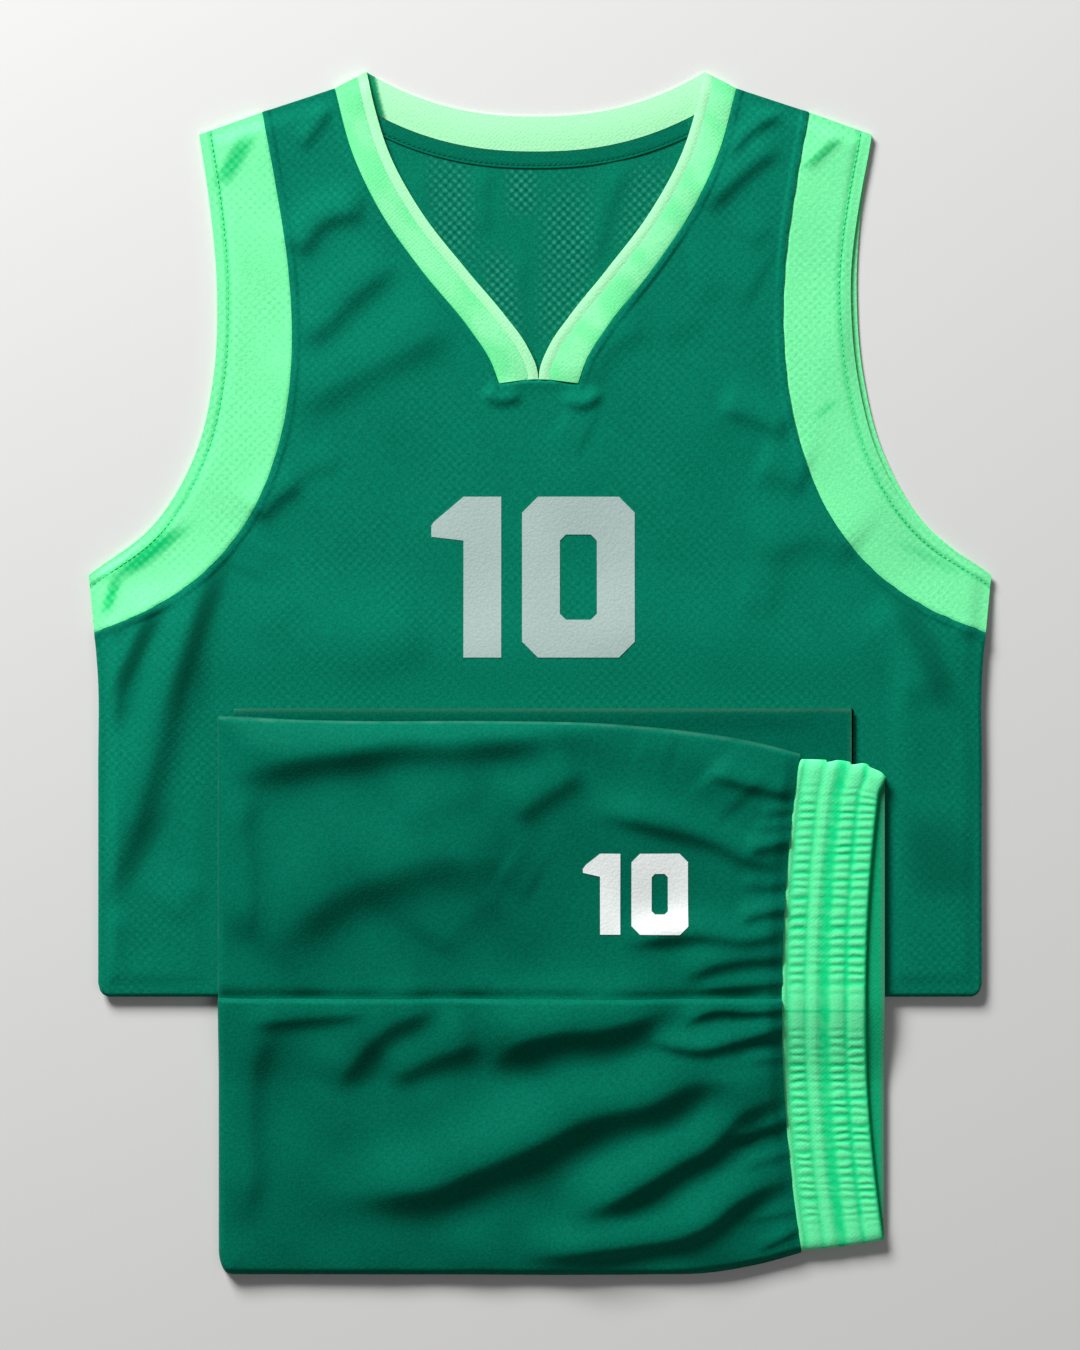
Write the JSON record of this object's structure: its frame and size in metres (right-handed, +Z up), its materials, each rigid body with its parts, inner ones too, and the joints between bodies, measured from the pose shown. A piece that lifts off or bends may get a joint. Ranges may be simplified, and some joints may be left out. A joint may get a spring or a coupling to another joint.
{
  "type": "basketball uniform",
  "caption": "Basketball uniform laid flat: sleeveless V-neck mesh jersey, hem folded under, and elastic-waist shorts folded in half on it.",
  "frame": {"origin": "on the surface the uniform lies on, under the middle of its bounding box", "axes": "+Y from the shorts up to the jersey's neck, +X to the right of someone looking down on it, +Z up out of the surface"},
  "size_m": [0.5614, 0.7486, 0.0183],
  "materials": {
    "mesh_green": "polyester birdseye mesh, matt",
    "inner_green": "inner face of the mesh, matt",
    "tape_green": "flat woven tape",
    "armband_mint": "polyester birdseye mesh, matt",
    "collar_mint": "fine rib knit",
    "trim_pale": "flat knit binding",
    "shorts_green": "smooth polyester knit, slight sheen",
    "waist_mint": "gathered elastic waistband",
    "waist_inner": "inner face of the waistband"
  },
  "bodies": {
    "root": {"jersey_front": "mesh_green", "jersey_back": "inner_green", "jersey_folded_layers": "mesh_green", "armband_front_left": "armband_mint", "armband_front_right": "armband_mint", "armband_back_left": "armband_mint", "armband_back_right": "armband_mint", "collar_front_left": "collar_mint", "collar_front_right": "collar_mint", "collar_trim_left": "trim_pale", "collar_trim_right": "trim_pale", "collar_back": "trim_pale", "neck_tape": "tape_green", "shorts_front_panel": "shorts_green", "shorts_back_panel": "shorts_green", "shorts_folded_layers": "shorts_green", "waistband_front": "waist_mint", "waistband_back": "waist_mint", "waistband_far": "waist_inner"}
  },
  "joints": []
}
